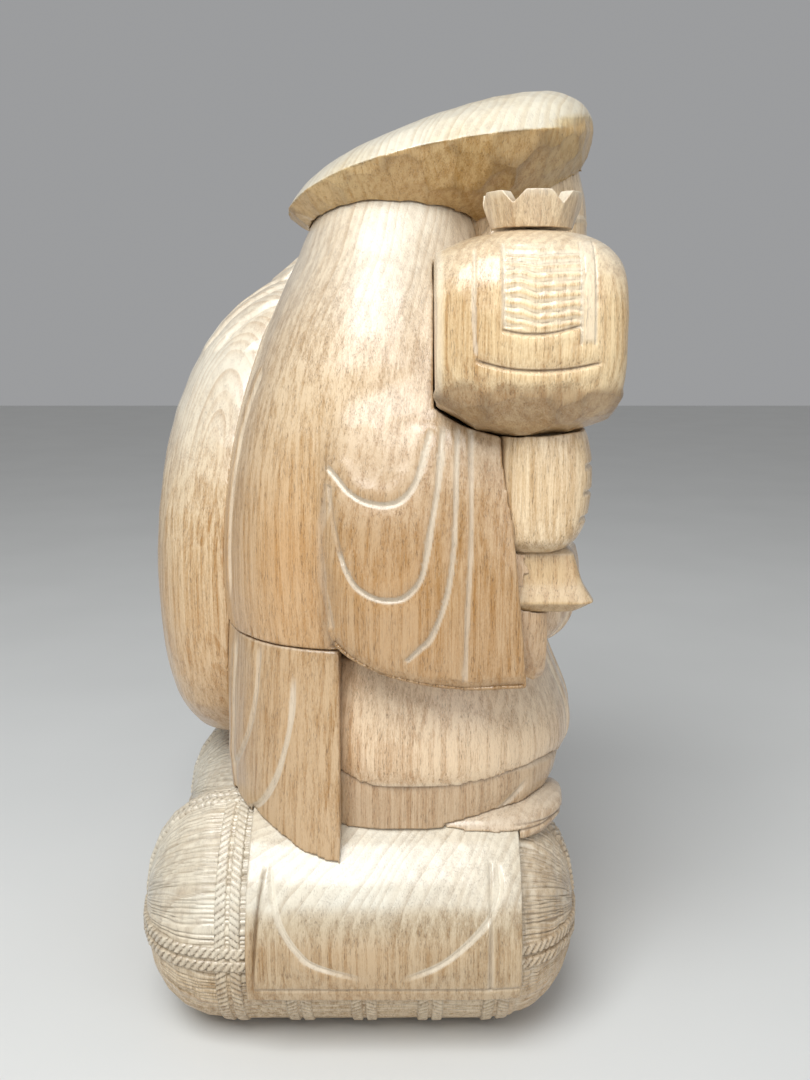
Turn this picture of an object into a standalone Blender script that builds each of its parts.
"""A carved wooden lucky figure that stands on two straw bales, with a raised mallet and a sack.

Each carved form is its own solid with a thin glue line to its neighbours. The figure faces -Y,
its right hand is at -X, +Z is up, and the origin is on the table under the middle of the base.
Tables and constants are in millimetres; MM turns them into Blender's metres.

A piece is a loft: key rows of rounded sections that a smooth curve joins. To fit two pieces
together, one is cut by a copy of the other that has grown by the glue line.
"""

import math

import bmesh
import bpy
from mathutils import Matrix

MM = 0.001

# Driving dimensions
GLUE_LINE = 0.3  # gap that every pair of pieces keeps
BALE_RADIUS = 39.0
BALE_AXIS_Z = 37.0  # under BALE_RADIUS, so the table cuts a flat along each bale
BALE_AXIS_X = 38.0
BALE_STRAIGHT = 40.0  # half the length of a bale's straight part
BALE_DOME = 32.4  # how far each end bulges past the straight part
BALE_SQUARENESS = 2.35  # of the dome's outline, where 2 is an ellipse
BALE_FACETS = 40
DOME_RINGS = 7  # rings on each domed end
DOME_START = 0.6  # the step from a dome's middle to its first ring, of a full step
CLOTH_THICKNESS = 2.2
CLOTH_FRONT_Y = -51.0
CLOTH_BACK_Y = 34.0
CLOTH_HEM_Z = 23.5
VALLEY_TOP_Z = 48.0  # the cloth bridges the valley between the bales above this height
TAIL_FRONT_Y = 5.0
COAT_HEM_Z = 131.5
HEM_GAP = 0.35  # a glue line, and a hair more
TAIL_TOP_Z = COAT_HEM_Z - HEM_GAP
OPENING_HALF_WIDTH = 26.0  # the coat is open over the chest and the belly
OPENING_BACK_Y = -14.0
SEAM_X = 43.0  # each arm and shoulder is a block that joins the trunk here
SEAM_Y = 9.0
PANEL_Z = 160.0  # the coat has front panels above this height, and none below
CUFF_TOP = (0.0, -43.5, 197.6)  # a sleeve's front edge leans forward below this point
CUFF_LEAN = math.radians(-5.7)
MALLET_X = -60.0
MALLET_HALF_HEIGHT = 28.7
MALLET_Z = 226.0
CROWN_Y = -51.0
CROWN_HEIGHT = 9.8
CROWN_PETALS = 6
CROWN_FOOT_RADIUS = 11.5
CROWN_TOP_RADIUS = 14.0
CROWN_INNER_RADIUS = 9.8
CROWN_HOLLOW_RADIUS = 7.5
CROWN_HOLLOW_DEPTH = 4.6
CROWN_TURN = math.radians(2)
PETAL_POINTS = 12  # points round one petal
NOTCH_POINTS = 3  # points from a notch's bottom to its edge
NOTCH_DEPTH = 3.6
NOSE_CENTRE = (0.0, -72.3, 246.0)
NOSE_RADII = (5.0, 5.0, 8.0)
EAR_CENTRE = (26.2, -44.0, 246.0)  # on the left; the right one mirrors it
EAR_RADII = (4.5, 7.0, 15.0)
HAT_CENTRE = (0.0, -26.0, 270.3)
HAT_TILT = math.radians(-11.6)
FAR = 400.0  # reach of a cutting block, past every piece
MERGE = 0.01  # points nearer than this become one
HAIRLINE = 0.02  # the same after a Boolean, whose seams leave slivers
SHARP_ANGLE = math.radians(35)  # edges that turn more than this stay crisp

# Warm, satin hardwood: colour (linear RGB), roughness
WOODS = {
    "base_wood": ((0.56, 0.38, 0.20), 0.48),
    "figure_wood": ((0.50, 0.29, 0.13), 0.42),
    "coat_wood": ((0.52, 0.31, 0.14), 0.38),
    "sack_wood": ((0.50, 0.30, 0.14), 0.42),
    "mallet_wood": ((0.47, 0.27, 0.11), 0.42),
    "hat_wood": ((0.58, 0.41, 0.22), 0.45),
    "skin_wood": ((0.55, 0.35, 0.17), 0.42),
}

# Rows: (level, across centre, across half width, low side, middle, high side, squareness).
# On an upright piece level is z, across is x and the sides are y. On a lying piece level is y,
# across is x and the sides are z.
RIGHT_LEG = [
    (58, -30.5, 28, -44, -14, 22, 2.4),
    (67, -30.7, 30, -54, -14, 25, 2.4),
    (78, -30.5, 30.5, -62, -14, 27, 2.4),
    (89, -29.5, 31, -66.5, -14, 27, 2.4),
    (98, -28, 27, -58, -14, 22, 2.4),
]
RIGHT_SHOE = [
    (-67, -38, 4, 72.5, 75, 77, 2.0),
    (-65.5, -38.5, 9.5, 69.5, 74, 78.5, 2.1),
    (-59, -39.5, 16, 65.5, 72, 79.5, 2.3),
    (-48, -41, 19.5, 61.5, 69, 79, 2.5),
    (-34, -42, 20, 58, 67, 79, 2.5),
    (-20, -41, 18, 56, 67, 80, 2.4),
]
SKIRT = [
    (86.5, 0, 61.5, -70.5, -14, 22, 2.5),
    (92, 0, 63.5, -73.3, -14, 23, 2.5),
    (102, 0, 63.5, -72.5, -14, 23, 2.5),
    (114, 0, 61, -67.5, -14, 22, 2.5),
    (126, 0, 57.5, -62.5, -14, 20, 2.5),
]
BELLY = [
    (119, 0, 40, -58, -14, 10, 2.3),
    (124, 0, 45, -70, -14, 17, 2.2),
    (132, 0, 47, -75.5, -14, 21, 2.2),
    (148, 0, 47, -76.5, -14, 23, 2.2),
    (168, 0, 44, -70, -14, 24, 2.2),
    (192, 0, 38, -60, -16, 22, 2.2),
    (214, 0, 31, -56, -18, 16, 2.2),
    (232, 0, 24, -53, -22, 6, 2.2),
    (244, 0, 17, -50, -26, -4, 2.2),
]
COAT = [
    (COAT_HEM_Z, 0, 63.5, -56, -10, 46.5, 2.6),
    (146, 0, 65, -58, -10, 47.5, 2.6),
    (170, 0, 66, -58, -10, 46, 2.6),
    (196, 0, 65.5, -56, -10, 41.5, 2.5),
    (216, 0, 62.5, -52, -10, 35.5, 2.4),
    (234, 0, 56, -48, -10, 28.5, 2.3),
    (250, 0, 47, -44, -10, 21, 2.2),
    (263.5, 0, 39, -42, -11, 15, 2.2),
    (273, 0, 29.5, -38, -12, 7, 2.1),
]
TAIL = [
    (48, 0, 70.5, -60, -8, 43.5, 2.6),
    (66, 0, 70, -60, -8, 45.5, 2.6),
    (88, 0, 67.5, -60, -8, 47, 2.6),
    (112, 0, 64.8, -60, -8, 47, 2.6),
    (TAIL_TOP_Z, 0, 63, -60, -8, 46, 2.6),
]
SLEEVE_SIDE = [  # one sleeve seen from its side; across is left wide, and SLEEVE_FRONT narrows it
    (8, 60, 60, 139, 170, 212, 2.4),
    (4, 60, 60, 133.5, 170, 224, 2.5),
    (-6, 60, 60, 128, 170, 232, 2.6),
    (-20, 60, 60, 124, 170, 236, 2.7),
    (-36, 60, 60, 122.5, 170, 232, 2.8),
    (-52, 60, 60, 123.5, 170, 222, 2.8),
    (-60, 60, 60, 125, 170, 210, 2.8),
]
RIGHT_SLEEVE_FRONT = [
    (118, -59, 16.5, -90, -26, 11, 3.0),
    (135, -59.5, 17.8, -90, -26, 11, 3.0),
    (158, -59.5, 17.5, -90, -26, 11, 3.0),
    (182, -58, 15.3, -90, -26, 11, 3.0),
    (204, -54.5, 12, -90, -26, 11, 2.8),
    (224, -50, 9, -90, -26, 11, 2.6),
    (240, -45, 6.5, -90, -26, 11, 2.4),
]
LEFT_SLEEVE_FRONT = [
    (118, 62, 21, -90, -26, 11, 3.0),
    (135, 63.5, 24, -90, -26, 11, 2.8),
    (158, 64, 24.9, -90, -26, 11, 2.7),
    (182, 61.5, 21, -90, -26, 11, 2.7),
    (204, 56, 14.5, -90, -26, 11, 2.7),
    (224, 50, 9, -90, -26, 11, 2.6),
    (240, 45, 6.5, -90, -26, 11, 2.4),
]
RIGHT_CUFF = [
    (-34, -59, 12.5, 128, 158, 180, 2.4),
    (-47, -59, 12.5, 125, 156, 176, 2.4),
    (-54, -59, 11, 121.5, 148, 166, 2.3),
    (-57.5, -59, 8, 123.5, 140, 150, 2.2),
]
RIGHT_FIST = [
    (163.5, -58, 13, -61, -54, -43.5, 3.0),
    (166.5, -58, 16, -65.5, -54, -42.5, 3.2),
    (174, -58, 17.4, -69, -54, -42, 3.2),
    (186, -58, 17.6, -70, -54, -42, 3.2),
    (197, -58, 16.8, -68.5, -54, -42, 3.0),
    (205, -58, 15, -64, -56, -44, 2.8),
]
HANDLE = [
    (145.3, MALLET_X, 9, -66, -55, -44, 7),
    (148.5, MALLET_X, 12.5, -71, -55, -42, 7),
    (154, MALLET_X, 10.5, -67.5, -55, -42.3, 7),
    (162.6, MALLET_X, 9.5, -65, -55, -42.6, 7),
    (165.5, MALLET_X, 6.5, -61.5, -55, -48.5, 7),
    (214, MALLET_X, 6, -61, -55, -49, 7),
]
MALLET = [
    (-76, MALLET_X, 18.5, 208.5, 226, 243.5, 2.8),
    (-75, MALLET_X, 22, 205, 226, 246.5, 2.8),
    (-71, MALLET_X, 25.5, 201.2, 226, 250.5, 2.9),
    (-64, MALLET_X, 27.8, 198.2, 226, 253.5, 3.0),
    (-53, MALLET_X, 29, 196.7, 226, 254.7, 3.0),
    (-42, MALLET_X, 28.6, 197.2, 226, 254.3, 3.0),
    (-32, MALLET_X, 27, 200, 226, 252, 3.0),
    (-23.5, MALLET_X, 23.5, 205, 226, 248.5, 3.0),
]
SACK = [
    (77, 27, 12, 40, 50, 60, 2.1),
    (82, 27, 24, 28, 46, 66, 2.2),
    (94, 27, 35.5, 16, 42, 72.5, 2.3),
    (112, 26, 41, 14, 40, 75.8, 2.3),
    (132, 26, 42.5, 14, 39, 77.3, 2.3),
    (152, 26, 42, 14, 38, 77, 2.3),
    (176, 27, 39.5, 14, 34, 74.5, 2.3),
    (200, 29, 34.5, 14, 30, 69, 2.2),
    (222, 32, 28, 12, 26, 58.5, 2.2),
    (237, 36, 21, 10, 22, 46, 2.1),
    (246, 39, 12, 10, 20, 32, 2.1),
]
HEAD = [
    (220, 0, 8, -67, -54, -44, 2.1),
    (223, 0, 15, -72, -52, -36, 2.1),
    (231, 0, 22, -75.5, -50, -28, 2.2),
    (243, 0, 25, -76.5, -48, -22, 2.2),
    (257, 0, 26.5, -76, -46, -20, 2.2),
    (270, 0, 27, -75, -44, -18, 2.2),
    (284, 0, 25, -71, -44, -18, 2.2),
]
HAT = [
    (-13.5, 0, 24, -30, -4, 20, 2.1),
    (-8, 0, 37, -42.5, -4, 36, 2.2),
    (-2, 0, 45, -50, -4, 46, 2.2),
    (3.5, 0, 49.5, -53, -4, 50.5, 2.2),
    (8, 0, 46.8, -54, -6, 44, 2.2),
    (13.5, 0, 42.5, -53.2, -12, 33, 2.2),
    (18.5, 0, 35.5, -50.5, -18, 18, 2.1),
    (22.6, 0, 26, -44.5, -24, 2, 2.1),
    (24.8, 0, 12, -35, -27, -15, 2.0),
]
HAT_RIM_ROW = 3
HAT_RIM_LIFT = 4.0  # how far the rim rises to its front
HAT_RIM_ARCH = 5.5  # how far it bows up between its back and its front
HAT_ARCH_POWER = 0.6  # below 1, the bow is highest behind the middle

# The sack's twisted neck, from its mouth under the left fist to the sack: (point, radius)
SACK_NECK = [
    ((57, -55, 147), 13),
    ((57, -55, 155), 11),
    ((57, -55, 163), 7),
    ((57, -54, 186), 7),
    ((56, -52, 207), 9),
    ((54, -42, 230), 11),
    ((50, -22, 248), 12),
    ((44, 4, 251), 12),
    ((37, 25, 237), 13),
    ((34, 36, 222), 14),
]

FIGURE = bpy.data.collections.new("carved_lucky_figure")
HELPERS = bpy.data.collections.new("cutters")


def clear_scene():
    for old in list(bpy.data.objects):
        bpy.data.objects.remove(old)


def link_collections():
    bpy.context.scene.collection.children.link(FIGURE)
    bpy.context.scene.collection.children.link(HELPERS)
    HELPERS.hide_render = True


# ---------------------------------------------------------------- sections and lofts


def catmull_rom(before, start, end, after, t):
    """One value on the smooth curve from start to end."""
    return 0.5 * (
        2 * start
        + (end - before) * t
        + (2 * before - 5 * start + 4 * end - after) * t * t
        + (3 * start - before - 3 * end + after) * t**3
    )


def smooth_rows(rows, steps):
    """The key rows with steps - 1 rows between each pair."""
    made = []
    for i in range(len(rows) - 1):
        before = rows[max(i - 1, 0)]
        after = rows[min(i + 2, len(rows) - 1)]
        for step in range(steps):
            around = zip(before, rows[i], rows[i + 1], after)
            made.append([catmull_rom(*four, step / steps) for four in around])
    return made + [list(rows[-1])]


def grown(rows, grow):
    """The rows of the same piece, grow larger on every side."""
    direction = 1 if rows[-1][0] > rows[0][0] else -1
    made = [[v, c, w + grow, low - grow, mid, high + grow, n] for v, c, w, low, mid, high, n in rows]
    made[0][0] -= grow * direction
    made[-1][0] += grow * direction
    return made


def section(row, count, upright):
    """Points round one rounded section, as a superellipse whose two sides differ."""
    level, centre, half, low, middle, high, squareness = row
    points = []
    for k in range(count):
        turn = 2 * math.pi * (k + 0.5) / count
        c, s = math.cos(turn), math.sin(turn)
        across = centre + half * math.copysign(abs(c) ** (2 / squareness), c)
        reach = high - middle if s > 0 else middle - low
        side = middle + reach * math.copysign(abs(s) ** (2 / squareness), s)
        points.append((across, side, level) if upright else (across, level, side))
    return points


def add_object(name, bm, collection):
    bmesh.ops.recalc_face_normals(bm, faces=bm.faces)
    mesh = bpy.data.meshes.new(name)
    bm.to_mesh(mesh)
    bm.free()
    made = bpy.data.objects.new(name, mesh)
    collection.objects.link(made)
    return made


def skin(name, loops, collection):
    """A closed solid through the loops of points, which all have the same count."""
    bm = bmesh.new()
    rims = []
    previous = []
    for loop in loops:
        verts = [bm.verts.new([v * MM for v in point]) for point in loop]
        edges = [bm.edges.new((a, b)) for a, b in zip(verts, verts[1:] + verts[:1])]
        if previous:
            bmesh.ops.bridge_loops(bm, edges=previous + edges)
        rims.append(verts)
        previous = edges
    bm.faces.new(rims[0])
    bm.faces.new(rims[-1])
    return add_object(name, bm, collection)


def loft(name, rows, upright, segments, grow=0.0, collection=None, steps=2, corner=None):
    """The shape that the key rows describe. corner is a row where the outline turns sharply."""
    rows = grown(rows, grow)
    spans = [rows] if corner is None else [rows[: corner + 1], rows[corner:]]
    smooth = smooth_rows(spans[0], steps)
    for span in spans[1:]:
        smooth += smooth_rows(span, steps)[1:]
    loops = [section(row, segments, upright) for row in smooth]
    return skin(name, loops, collection or FIGURE)


def sided(rows, side):
    """The right side's rows, mirrored in x for the left side."""
    return [(row[0], -side * row[1], *row[2:]) for row in rows]


# ---------------------------------------------------------------- cutting and joining


def block(x, y, z, turn=None):
    """A box cutter from its x, y and z ranges. turn is (angle, axis, pivot), applied after."""
    bm = bmesh.new()
    bmesh.ops.create_cube(bm, size=1.0)
    size = [(high - low) * MM for low, high in (x, y, z)]
    centre = [(high + low) / 2 * MM for low, high in (x, y, z)]
    bm.transform(Matrix.Translation(centre) @ Matrix.Diagonal((*size, 1)))
    if turn:
        angle, axis, pivot = turn
        place = Matrix.Translation([v * MM for v in pivot])
        bm.transform(place @ Matrix.Rotation(angle, 4, axis) @ place.inverted())
    return add_object("cutter", bm, HELPERS)


def weld(mesh):
    """Merges the hairline edges that a Boolean leaves where two surfaces nearly meet."""
    bm = bmesh.new()
    bm.from_mesh(mesh)
    bmesh.ops.remove_doubles(bm, verts=bm.verts, dist=HAIRLINE * MM)
    bmesh.ops.dissolve_degenerate(bm, edges=bm.edges, dist=MERGE * MM)
    bm.to_mesh(mesh)
    bm.free()


def combine(target, tool, operation):
    """Applies one exact Boolean to target and removes the tool."""
    modifier = target.modifiers.new("fit", "BOOLEAN")
    modifier.operation = operation
    modifier.solver = "EXACT"
    modifier.object = tool
    bpy.context.view_layer.update()
    graph = bpy.context.evaluated_depsgraph_get()
    mesh = bpy.data.meshes.new_from_object(target.evaluated_get(graph))
    target.modifiers.remove(modifier)
    target.data = mesh
    weld(mesh)
    bpy.data.objects.remove(tool)
    return target


def cut(target, *tools):
    for tool in tools:
        combine(target, tool, "DIFFERENCE")
    return target


def keep(target, tool):
    return combine(target, tool, "INTERSECT")


def join(target, tool):
    return combine(target, tool, "UNION")


# ---------------------------------------------------------------- shapes, before they are fitted
# Each function makes a whole shape. Where it takes grow, that makes it larger all round.


def bale(name, side, grow=0.0, collection=None):
    """A lying barrel: a turned profile with a domed end either way, swung onto the y axis."""
    radius = BALE_RADIUS + grow
    depth = BALE_DOME + grow
    power = 2 / BALE_SQUARENESS
    upper = []
    for k in range(DOME_RINGS - 1):
        turn = math.radians(90) * (k + DOME_START) / (DOME_RINGS - 1 + DOME_START)
        height = BALE_STRAIGHT + depth * math.cos(turn) ** power
        upper.append((radius * math.sin(turn) ** power, height))
    upper.append((radius, BALE_STRAIGHT))
    profile = upper + [(r, -h) for r, h in reversed(upper)]
    bm = bmesh.new()
    top = bm.verts.new((0, 0, profile[0][1] * MM))
    bottom = bm.verts.new((0, 0, profile[-1][1] * MM))
    line = [top] + [bm.verts.new((r * MM, 0, h * MM)) for r, h in profile] + [bottom]
    for a, b in zip(line, line[1:]):
        bm.edges.new((a, b))
    # A quarter of a facet's turn, so that the two bales' facets don't mirror each other
    turned = Matrix.Rotation(math.radians(360) / BALE_FACETS / 4, 4, "Z")
    around = Matrix.Rotation(math.radians(90), 4, "X") @ turned
    place = Matrix.Translation([v * MM for v in (side * BALE_AXIS_X, 0, BALE_AXIS_Z)])
    bmesh.ops.spin(
        bm, geom=bm.verts[:] + bm.edges[:], axis=(0, 0, 1), cent=(0, 0, 0),
        angle=math.radians(360), steps=BALE_FACETS, use_merge=True,
    )
    bmesh.ops.remove_doubles(bm, verts=bm.verts, dist=MERGE * MM)
    bm.transform(place @ around)
    return add_object(name, bm, collection or FIGURE)


def cloth(name, grow=0.0, collection=None):
    """The smooth cloth that lies over both bales and hangs down their outer sides."""
    thick = CLOTH_THICKNESS + grow
    piece = bale(name, -1, thick, collection)
    join(piece, bale("cutter", 1, thick, HELPERS))
    long = (CLOTH_FRONT_Y - grow, CLOTH_BACK_Y + grow)
    keep(piece, block((-FAR, FAR), long, (CLOTH_HEM_Z - grow, FAR)))
    valley = (-BALE_AXIS_X / 2, BALE_AXIS_X / 2)
    return cut(piece, block(valley, (-FAR, FAR), (-FAR, VALLEY_TOP_Z - grow)))


def leg(name, side, grow=0.0, collection=None):
    return loft(name, sided(RIGHT_LEG, side), True, 24, grow, collection)


def shoe(name, side, grow=0.0, collection=None):
    return loft(name, sided(RIGHT_SHOE, side), False, 18, grow, collection)


def skirt(name, grow=0.0, collection=None):
    return loft(name, SKIRT, True, 40, grow, collection)


def belly(name, grow=0.0, collection=None):
    return loft(name, BELLY, True, 28, grow, collection)


def tail(name, grow=0.0, collection=None):
    piece = loft(name, TAIL, True, 40, grow, collection, steps=1)
    return cut(piece, block((-FAR, FAR), (-FAR, TAIL_FRONT_Y - grow), (-FAR, FAR)))


def coat(name, grow=0.0, collection=None):
    return loft(name, COAT, True, 40, grow, collection)


def arm(name, side, grow=0.0, collection=None):
    """A hanging sleeve with its slanted mouth, in one piece with its half of the shoulder."""
    front = RIGHT_SLEEVE_FRONT if side < 0 else LEFT_SLEEVE_FRONT
    piece = loft(name, front, True, 32, grow, collection)
    keep(piece, loft("cutter", sided(SLEEVE_SIDE, -side), False, 36, grow, HELPERS))
    lean = (CUFF_LEAN, "X", CUFF_TOP)
    cut(piece, block((-FAR, FAR), (-FAR, CUFF_TOP[1] - grow), (-FAR, FAR), lean))
    shoulder = coat("cutter", grow, HELPERS)
    x = sorted((side * (SEAM_X - grow), side * FAR))
    keep(shoulder, block(x, (-FAR, SEAM_Y + grow), (-FAR, FAR)))
    return join(piece, shoulder)


def cuff(name, side, grow=0.0, collection=None):
    return loft(name, sided(RIGHT_CUFF, side), False, 16, grow, collection)


def fist(name, side, grow=0.0, collection=None):
    return loft(name, sided(RIGHT_FIST, side), True, 20, grow, collection)


def handle(name, grow=0.0, collection=None):
    return loft(name, HANDLE, True, 16, grow, collection, steps=1)


def mallet(name, grow=0.0, collection=None):
    return loft(name, MALLET, False, 32, grow, collection)


def crown(name):
    """A flared ring of petals round a hollow, whose rim dips to a V between each two petals."""
    foot = MALLET_Z + MALLET_HALF_HEIGHT + GLUE_LINE
    rings = (
        (CROWN_FOOT_RADIUS, 0, 0),
        (CROWN_TOP_RADIUS, CROWN_HEIGHT, NOTCH_DEPTH),
        (CROWN_INNER_RADIUS, CROWN_HEIGHT, NOTCH_DEPTH),
        (CROWN_HOLLOW_RADIUS, CROWN_HEIGHT - CROWN_HOLLOW_DEPTH, 0),
    )
    loops = []
    for radius, level, dip in rings:
        loop = []
        for k in range(CROWN_PETALS * PETAL_POINTS):
            turn = math.radians(360) * k / (CROWN_PETALS * PETAL_POINTS) + CROWN_TURN
            from_notch = abs(k % PETAL_POINTS - PETAL_POINTS / 2)
            z = foot + level - dip * max(1 - from_notch / NOTCH_POINTS, 0)
            loop.append((MALLET_X + radius * math.cos(turn), CROWN_Y + radius * math.sin(turn), z))
        loops.append(loop)
    return skin(name, loops, FIGURE)


def sack(name, grow=0.0, collection=None):
    return loft(name, SACK, True, 36, grow, collection)


def sack_neck(name, grow=0.0, collection=None):
    """A curve with a round section whose radius changes along it, made a mesh."""
    curve = bpy.data.curves.new(name, "CURVE")
    curve.dimensions = "3D"
    curve.bevel_depth = MM
    curve.bevel_resolution = 3
    curve.resolution_u = 2
    curve.use_fill_caps = True
    spline = curve.splines.new("BEZIER")
    spline.bezier_points.add(len(SACK_NECK) - 1)
    for knot, (place, radius) in zip(spline.bezier_points, SACK_NECK):
        knot.co = [v * MM for v in place]
        knot.radius = radius + grow
        knot.handle_left_type = knot.handle_right_type = "AUTO"
    spline.bezier_points[0].co.z -= grow * MM
    spline.bezier_points[-1].co.z -= grow * MM
    guide = bpy.data.objects.new("guide", curve)
    HELPERS.objects.link(guide)
    bpy.context.view_layer.update()
    graph = bpy.context.evaluated_depsgraph_get()
    bm = bmesh.new()
    bm.from_mesh(bpy.data.meshes.new_from_object(guide.evaluated_get(graph)))
    bmesh.ops.remove_doubles(bm, verts=bm.verts, dist=MERGE * MM)
    bpy.data.objects.remove(guide)
    return add_object(name, bm, collection or FIGURE)


def ball(name, centre, radii, grow=0.0, collection=None):
    bm = bmesh.new()
    bmesh.ops.create_uvsphere(bm, u_segments=12, v_segments=8, radius=1.0)
    bm.transform(Matrix.Diagonal((*[(r + grow) * MM for r in radii], 1)))
    bm.transform(Matrix.Translation([v * MM for v in centre]))
    return add_object(name, bm, collection or FIGURE)


def head(name, grow=0.0, collection=None):
    piece = loft(name, HEAD, True, 24, grow, collection)
    return join(piece, ball("cutter", NOSE_CENTRE, NOSE_RADII, grow, HELPERS))


def ear(name, side, grow=0.0, collection=None):
    return ball(name, (side * EAR_CENTRE[0], *EAR_CENTRE[1:]), EAR_RADII, grow, collection)


def hat(name, grow=0.0, collection=None):
    """A flat cap that leans back, with a sharp rim between its underside and its dome."""
    piece = loft(name, HAT, True, 40, grow, collection, corner=HAT_RIM_ROW)
    lift_rim(piece)
    lean = Matrix.Rotation(HAT_TILT, 4, "X")
    piece.data.transform(Matrix.Translation([v * MM for v in HAT_CENTRE]) @ lean)
    return piece


def lift_rim(piece):
    """Raises and bows the rim, and moves less and less what lies above and below it."""
    foot, rim, crest = (HAT[row][0] for row in (0, HAT_RIM_ROW, -1))
    front, back = HAT[HAT_RIM_ROW][3], HAT[HAT_RIM_ROW][5]
    for vertex in piece.data.vertices:
        level, y = vertex.co.z / MM, vertex.co.y / MM
        share = (level - foot) / (rim - foot) if level < rim else (crest - level) / (crest - rim)
        forward = min(max((back - y) / (back - front), 0), 1)
        bow = HAT_RIM_ARCH * math.sin(math.pi * forward**HAT_ARCH_POWER)
        vertex.co.z += (HAT_RIM_LIFT * forward + bow) * max(share, 0) * MM


# ---------------------------------------------------------------- fitting


def tool(make, *args):
    """The cutter that clears a shape and its glue line out of a neighbour."""
    return make("cutter", *args, GLUE_LINE, HELPERS)


def clear_base():
    return [tool(bale, -1), tool(bale, 1), tool(cloth)]


def clear_trunk():
    return [tool(skirt), tool(belly), tool(tail)]


def clear_coat():
    return [tool(coat), tool(tail), tool(arm, 1)]


def side_name(side, name):
    return ("right_" if side < 0 else "left_") + name


def build_base():
    for side in (-1, 1):
        piece = bale(side_name(side, "bale"), side)
        middle = sorted((side * GLUE_LINE / 2, -side * FAR))
        cut(piece, block(middle, (-FAR, FAR), (-FAR, FAR)))
        finish(cut(piece, block((-FAR, FAR), (-FAR, FAR), (-FAR, 0))), "base_wood")
    finish(cut(cloth("base_cloth"), tool(bale, -1), tool(bale, 1)), "base_wood")


def build_legs():
    for side in (-1, 1):
        finish(cut(shoe(side_name(side, "shoe"), side), *clear_base()), "figure_wood")
        piece = cut(leg(side_name(side, "trouser_leg"), side), *clear_base(), tool(shoe, side))
        middle = sorted((side * GLUE_LINE / 2, -side * FAR))
        finish(cut(piece, block(middle, (-FAR, FAR), (-FAR, FAR))), "figure_wood")


def build_trunk():
    legs = [tool(leg, side) for side in (-1, 1)]
    finish(cut(skirt("tunic_skirt"), *legs), "figure_wood")
    finish(cut(belly("tunic_body"), tool(skirt), tool(head), tool(mallet)), "figure_wood")
    legs = [tool(leg, side) for side in (-1, 1)]
    finish(cut(tail("robe_tail"), tool(skirt), tool(belly), *legs, *clear_base()), "coat_wood")
    piece = cut(coat("coat"), tool(skirt), tool(belly), tool(tail), tool(head), tool(sack_neck))
    opening = (-OPENING_HALF_WIDTH, OPENING_HALF_WIDTH)
    cut(piece, block(opening, (-FAR, OPENING_BACK_Y), (-FAR, FAR)))
    cut(piece, block((-FAR, FAR), (-FAR, SEAM_Y + GLUE_LINE), (-FAR, PANEL_Z)))
    cut(piece, tool(arm, -1), tool(arm, 1), tool(fist, -1), tool(fist, 1))
    finish(cut(piece, tool(mallet), tool(handle)), "coat_wood")


def build_right_arm():
    finish(handle("mallet_handle"), "mallet_wood")
    finish(cut(mallet("mallet_head"), tool(handle)), "mallet_wood")
    finish(crown("mallet_crown"), "mallet_wood")
    finish(cut(fist("right_hand", -1), tool(handle), tool(mallet)), "skin_wood")
    held = [tool(handle), tool(mallet), tool(fist, -1)]
    finish(cut(cuff("right_cuff", -1), *held), "figure_wood")
    held = [tool(handle), tool(mallet), tool(fist, -1), tool(cuff, -1)]
    finish(cut(arm("right_sleeve", -1), *clear_trunk(), *held), "coat_wood")


def build_left_arm():
    finish(cut(fist("left_hand", 1), tool(sack_neck)), "skin_wood")
    finish(cut(cuff("left_cuff", 1), tool(sack_neck), tool(fist, 1)), "figure_wood")
    held = [tool(sack_neck), tool(fist, 1), tool(cuff, 1)]
    finish(cut(arm("left_sleeve", 1), *clear_trunk(), *held), "coat_wood")


def build_sack():
    piece = cut(sack("sack"), *clear_coat(), *clear_base())
    finish(piece, "sack_wood")
    finish(cut(sack_neck("sack_neck"), tool(sack)), "sack_wood")


def build_head():
    finish(head("head"), "skin_wood")
    for side in (-1, 1):
        piece = cut(ear(side_name(side, "ear"), side), tool(head), tool(coat))
        finish(piece, "skin_wood")
    ears = [tool(ear, side) for side in (-1, 1)]
    finish(cut(hat("hat"), tool(head), tool(coat), *ears), "hat_wood")


# ---------------------------------------------------------------- materials


def wood(name):
    colour, roughness = WOODS[name]
    material = bpy.data.materials.get(name) or bpy.data.materials.new(name)
    material.use_nodes = True
    shader = material.node_tree.nodes["Principled BSDF"]
    shader.inputs["Base Color"].default_value = (*colour, 1.0)
    shader.inputs["Roughness"].default_value = roughness
    return material


def finish(piece, wood_name):
    piece.data.materials.clear()
    piece.data.materials.append(wood(wood_name))
    piece.data.shade_smooth()
    piece.data.set_sharp_from_angle(angle=SHARP_ANGLE)


clear_scene()
link_collections()
build_base()
build_legs()
build_trunk()
build_right_arm()
build_left_arm()
build_sack()
build_head()
